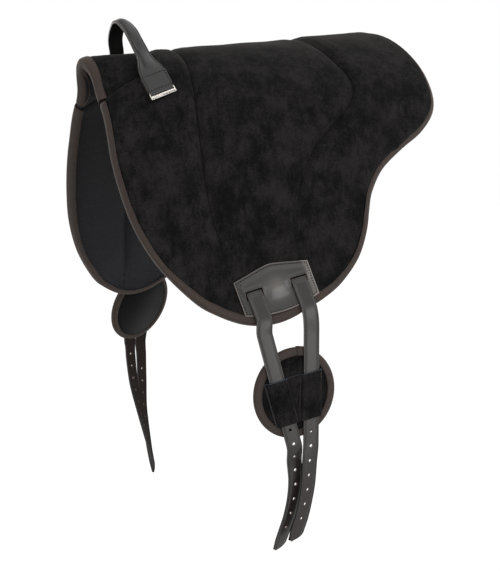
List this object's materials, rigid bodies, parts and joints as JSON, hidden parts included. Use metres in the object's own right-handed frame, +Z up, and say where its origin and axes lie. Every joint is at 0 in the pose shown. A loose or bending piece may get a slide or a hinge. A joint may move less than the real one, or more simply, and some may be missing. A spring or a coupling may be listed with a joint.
{
  "type": "bareback pad",
  "caption": "Padded suede riding pad for a horse's back, with a pommel grab handle, girth patches, hanging punched girth straps and buckle guards.",
  "frame": {"origin": "underside of the spine strip, halfway along the pad", "axes": "+X towards the horse's tail, -Y the horse's left (near) side, +Z up"},
  "size_m": [0.5559, 0.6017, 0.8331],
  "materials": {
    "suede": "napped black suede",
    "mesh_cloth": "knitted spacer mesh",
    "foam": "matt foam",
    "felt": "matt felt",
    "leather": "satin dark grey leather",
    "binding": "ribbed woven tape",
    "webbing": "woven webbing",
    "nickel": "polished"
  },
  "bodies": {
    "pad": {"pommel_panel": "suede", "knee_panel": "suede", "seat_panel": "suede", "cantle_panel": "suede", "left_foam": "foam", "right_foam": "foam", "left_lining": "mesh_cloth", "right_lining": "mesh_cloth", "spine_strip": "webbing", "edge_binding": "binding", "pommel_binding": "binding", "left_girth_patch": "leather", "right_girth_patch": "leather", "left_billet_anchor": "leather", "right_billet_anchor": "leather", "handle_strap": "leather", "handle_core": "foam", "handle_cover": "leather", "left_handle_tab": "leather", "right_handle_tab": "leather"},
    "left_billets": {"left_front_billet": "leather", "left_rear_billet": "leather"},
    "left_guard": {"left_guard_face": "suede", "left_guard_felt": "felt", "left_guard_lining": "felt", "left_guard_sleeve": "suede", "left_guard_binding": "binding"},
    "left_dee": {"left_dee": "nickel"},
    "right_billets": {"right_front_billet": "leather", "right_rear_billet": "leather"},
    "right_guard": {"right_guard_face": "suede", "right_guard_felt": "felt", "right_guard_lining": "felt", "right_guard_sleeve": "suede", "right_guard_binding": "binding"},
    "right_dee": {"right_dee": "nickel"}
  },
  "joints": [
    {"name": "left_billets_swing", "type": "hinge", "parent": "pad", "child": "left_billets", "pos_m": [-0.05576, -0.23524, -0.36488], "axis": [-0.9446, 0.2007, -0.2599], "range_deg": [0, 75]},
    {"name": "left_guard_slide", "type": "slide", "parent": "left_billets", "child": "left_guard", "axis": [-0.1318, 0.028, 0.9909], "range_m": [-0.008, 0.014]},
    {"name": "left_dee_swing", "type": "hinge", "parent": "pad", "child": "left_dee", "pos_m": [-0.18052, -0.09831, -0.06847], "axis": [-0.915, 0.1777, -0.3622], "range_deg": [0, 90]},
    {"name": "right_billets_swing", "type": "hinge", "parent": "pad", "child": "right_billets", "pos_m": [-0.05576, 0.23524, -0.36488], "axis": [0.9446, 0.2007, 0.2599], "range_deg": [0, 75]},
    {"name": "right_guard_slide", "type": "slide", "parent": "right_billets", "child": "right_guard", "axis": [-0.1063, -0.3659, 0.9245], "range_m": [-0.008, 0]},
    {"name": "right_dee_swing", "type": "hinge", "parent": "pad", "child": "right_dee", "pos_m": [-0.18052, 0.09831, -0.06847], "axis": [0.915, 0.1777, 0.3622], "range_deg": [0, 90]}
  ]
}
